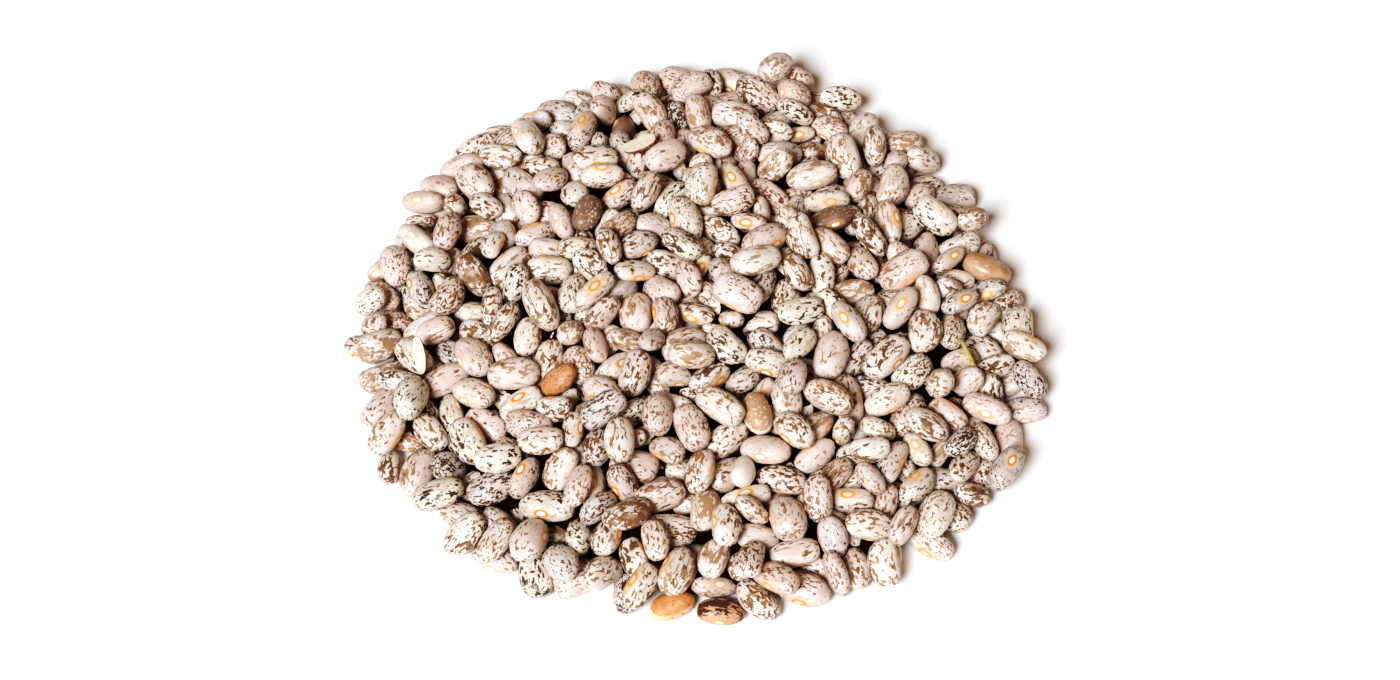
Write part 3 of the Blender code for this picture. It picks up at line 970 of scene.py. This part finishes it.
# Name, share of the heap, ground, marks, and how the marks differ from the usual
PINTO_KINDS = (
    ("dashed_cream", 0.09, CREAM, BROWN, {"fine": 0.565}),
    ("dotted_cream", 0.08, CREAM, BROWN, {"fine": 0.58, "dots": 0.62, "fine_scale": 1.35}),
    ("flecked_cream", 0.08, PALE, BROWN, {"fine": 0.56, "fine_scale": 0.95}),
    ("dashed_pink", 0.08, PINK, BROWN, {"fine": 0.57, "fine_scale": 1.2}),
    ("dotted_pink", 0.07, PINK, BROWN, {"fine": 0.585, "dots": 0.61, "fine_scale": 1.4}),
    ("flecked_pink", 0.07, PINK, TAN, {"fine": 0.555, "fine_scale": 0.95}),
    ("streaked_cream", 0.08, PALE, TAN, STREAKS_ON_CREAM),
    ("streaked_pink", 0.07, PINK, TAN, STREAKS_ON_PINK),
    ("dotted_grey", 0.07, GREY, DARK, {"fine": 0.59, "dots": 0.62, "fine_scale": 1.35}),
    ("dashed_grey", 0.05, GREY, BROWN, {"fine": 0.575}),
    ("striped", 0.07, PALE, BROWN, {"fine": 0.61, "bold": 0.62, "lines": 0.030, "stretch": 0.42}),
    ("marbled", 0.07, PALE, TAN, {"fine": 0.56, "bold": 0.56, "lines": 0.014, "stretch": 0.5}),
    ("yellowish", 0.07, YELLOW, DARK, {"fine": 0.585}),
    ("plain", 0.05, PINK, TAN, {"fine": 0.63, "bold": 0.72}),
)

start = 0.0
for seed, (name, share, ground, marks, pattern) in enumerate(PINTO_KINDS, start=FIRST_SEED):
    finish = bean_coat(name + "_coat", ground, marks, **pattern)
    piece_of(name + "_beans", share_of(start, start + share), finish, seed)
    start += share

# Broken beans on top of the heap: a half that shows its pale, mealy inside, and a splinter that
# stands on end. They split off dry and lie loose on the beans under them.
# Place, then way round, pitch and roll in degrees, then size
SPLIT_BEAN = ((-0.0174, 0.0571), (25, -6, 170), (0.0108, 0.0056, 0.0060))
SPLINTER = ((-0.0830, -0.0223), (100, -50, 145), (0.0115, 0.0040, 0.0036))
TOP_CELLS = 6
TOP_SINK = 0.45


def on_top(place, degrees, size):
    """A small piece that lies on the beans round a place."""
    half = np.array(size) / 2
    turn = turn_of(*np.radians(degrees))
    place = np.array(place) + middle[:2]
    near = cells_round(surface, cells_of(place), TOP_CELLS)
    rise = extents_of(Bean(None, turn, half))[2]
    return Bean(np.append(place, float(near.max()) + TOP_SINK * rise), turn, half)


split_coat = bean_coat(
    "split_coat",
    grounds=((226, 206, 188), (218, 196, 178), (206, 182, 162)),
    flecks=((130, 86, 62), (108, 72, 54), (180, 144, 118)),
    fine=0.54, cut=((242, 226, 208), (226, 204, 180)), roughness=0.5)
piece_of("split_beans", [on_top(*SPLIT_BEAN)], split_coat, seed=61, forms=split_forms)
piece_of("splinters", [on_top(*SPLINTER)], split_coat, seed=62, forms=split_forms)

# An empty husk near the right edge. It is the thin dry skin of a bean that never filled, shrivelled
# and straw yellow, and it lies on edge on the beans under it.
HUSK = ((0.0833, -0.0211), (112, -14, 70), (0.0135, 0.0056, 0.0030))
husk_coat = bean_coat(
    "husk_coat",
    grounds=((226, 214, 150), (218, 204, 138), (206, 190, 120)),
    flecks=((190, 166, 96), (176, 150, 84), (214, 200, 140)),
    fine=0.66, cut=((214, 200, 140), (196, 180, 120)), roughness=0.5)
piece_of("husks", [on_top(*HUSK)], husk_coat, seed=63, forms=split_forms)

# The forms have been laid, so the loose ones are cleared away
for patterns in (bean_forms, split_forms):
    for form in list(patterns.objects):
        bpy.data.objects.remove(form)
    bpy.data.collections.remove(patterns)

# The plain white surface under the heap. It is a flat, matt board, far wider than the camera sees,
# and the heap lies loose on it.
FLOOR_HALF = 60.0
FLOOR_WHITE = (0.97, 0.97, 0.97, 1)
FLOOR_ROUGHNESS = 0.9
FLOOR_SHEEN = 0.1


def floor_object():
    """A wide pale surface at the height that the heap lies on."""
    corners = [(x * FLOOR_HALF, y * FLOOR_HALF, 0) for x, y in ((-1, -1), (1, -1), (1, 1), (-1, 1))]
    mesh = bpy.data.meshes.new("floor")
    mesh.from_pydata(corners, [], [(0, 1, 2, 3)])
    material = bpy.data.materials.new("floor_white")
    material.use_nodes = True
    shader = material.node_tree.nodes["Principled BSDF"]
    shader.inputs["Base Color"].default_value = FLOOR_WHITE
    shader.inputs["Roughness"].default_value = FLOOR_ROUGHNESS
    shader.inputs["Specular IOR Level"].default_value = FLOOR_SHEEN
    mesh.materials.append(material)
    return bpy.data.objects.new("floor", mesh)


floor = floor_object()
bpy.context.scene.collection.objects.link(floor)

# The light of a plain studio table: one broad, slightly cool lamp from the front left, two dim warm
# soft boxes from the right and from behind, and a faint warm glow from all round.
KEY_PLACE = (-0.50, -0.90, 0.98)
KEY_STRENGTH = 4.6
KEY_BREADTH = math.radians(22)
KEY_COLOUR = (0.90, 0.955, 1.0)
SOFT_BOXES = (("fill_light", (0.90, -0.30, 0.90), 1.2), ("back_light", (0.10, 1.00, 0.90), 1.6))
BOX_SIZE = 0.90
BOX_COLOUR = (1.0, 0.72, 0.50)
GLOW_COLOUR = (1.0, 0.62, 0.38, 1)
GLOW_STRENGTH = 0.08
WALL_COLOUR = (1, 1, 1, 1)
WALL_STRENGTH = 1.2


def lamp_at(name, kind, place, strength, colour):
    """The light of a lamp that stands here and faces the heap."""
    light = bpy.data.lights.new(name, kind)
    light.energy = strength
    light.color = colour
    lamp = bpy.data.objects.new(name, light)
    lamp.location = place
    lamp.rotation_euler = lamp.location.to_track_quat("Z", "Y").to_euler()
    bpy.context.scene.collection.objects.link(lamp)
    return light


key_light = lamp_at("key_light", "SUN", KEY_PLACE, KEY_STRENGTH, KEY_COLOUR)
key_light.angle = KEY_BREADTH
for name, place, strength in SOFT_BOXES:
    soft_box = lamp_at(name, "AREA", place, strength, BOX_COLOUR)
    soft_box.size = BOX_SIZE


def studio_world():
    """A faint warm glow on the heap, which the camera sees as a white wall."""
    world = bpy.data.worlds.new("studio")
    world.use_nodes = True
    tree = world.node_tree
    glow = tree.nodes["Background"]
    glow.inputs["Color"].default_value = GLOW_COLOUR
    glow.inputs["Strength"].default_value = GLOW_STRENGTH
    wall = add_node(tree, "ShaderNodeBackground", Color=WALL_COLOUR, Strength=WALL_STRENGTH)
    seen = add_node(tree, "ShaderNodeLightPath").outputs["Is Camera Ray"]
    both = add_node(tree, "ShaderNodeMixShader", i0=seen, i1=glow.outputs[0], i2=wall.outputs[0])
    tree.links.new(both.outputs[0], tree.nodes["World Output"].inputs["Surface"])
    return world


bpy.context.scene.world = studio_world()

# The photograph's tones: its shade is deep and a warm brown, and its lights stay just under white.
# Each step gives the light that falls in and the light that is shown.
ALL_TONES = ((0.085, 0.060), (0.16, 0.145), (0.33, 0.36), (0.55, 0.57), (0.80, 0.745), (1.0, 0.845))
GREEN_TONES = ((0.05, 0.038), (0.11, 0.102), (0.24, 0.235), (0.43, 0.406), (1.0, 1.0))
BLUE_TONES = ((0.037, 0.025), (0.075, 0.056), (0.17, 0.16), (0.35, 0.318), (0.56, 0.535), (1.0, 1.0))
GREEN, BLUE, ALL = 1, 2, 3
TONE_GAMMA = 0.84
TONE_EXPOSURE = 0.23

tones = bpy.context.scene.view_settings
tones.view_transform = "Standard"
tones.gamma = TONE_GAMMA
tones.exposure = TONE_EXPOSURE
tones.use_curve_mapping = True
for channel, steps in ((ALL, ALL_TONES), (GREEN, GREEN_TONES), (BLUE, BLUE_TONES)):
    curve = tones.curve_mapping.curves[channel]
    curve.points[-1].location = steps[-1]
    for step in steps[:-1]:
        curve.points.new(*step)
tones.curve_mapping.update()

# The camera stands in front of the heap and looks down on it at the photograph's angle, from far
# enough away that the beans at the back are nearly as large as those at the front.
CAMERA_ELEVATION = math.radians(52.3)
CAMERA_DISTANCE = 0.836
CAMERA_LENS = 69.2
CAMERA_AIM = (0.0020, -0.0053, 0.0030)

camera = bpy.data.objects.new("camera", bpy.data.cameras.new("camera"))
camera.data.lens = CAMERA_LENS
camera.location = (
    CAMERA_AIM[0],
    CAMERA_AIM[1] - CAMERA_DISTANCE * math.cos(CAMERA_ELEVATION),
    CAMERA_AIM[2] + CAMERA_DISTANCE * math.sin(CAMERA_ELEVATION),
)
camera.rotation_euler = (math.radians(90) - CAMERA_ELEVATION, 0, 0)
bpy.context.scene.collection.objects.link(camera)
bpy.context.scene.camera = camera
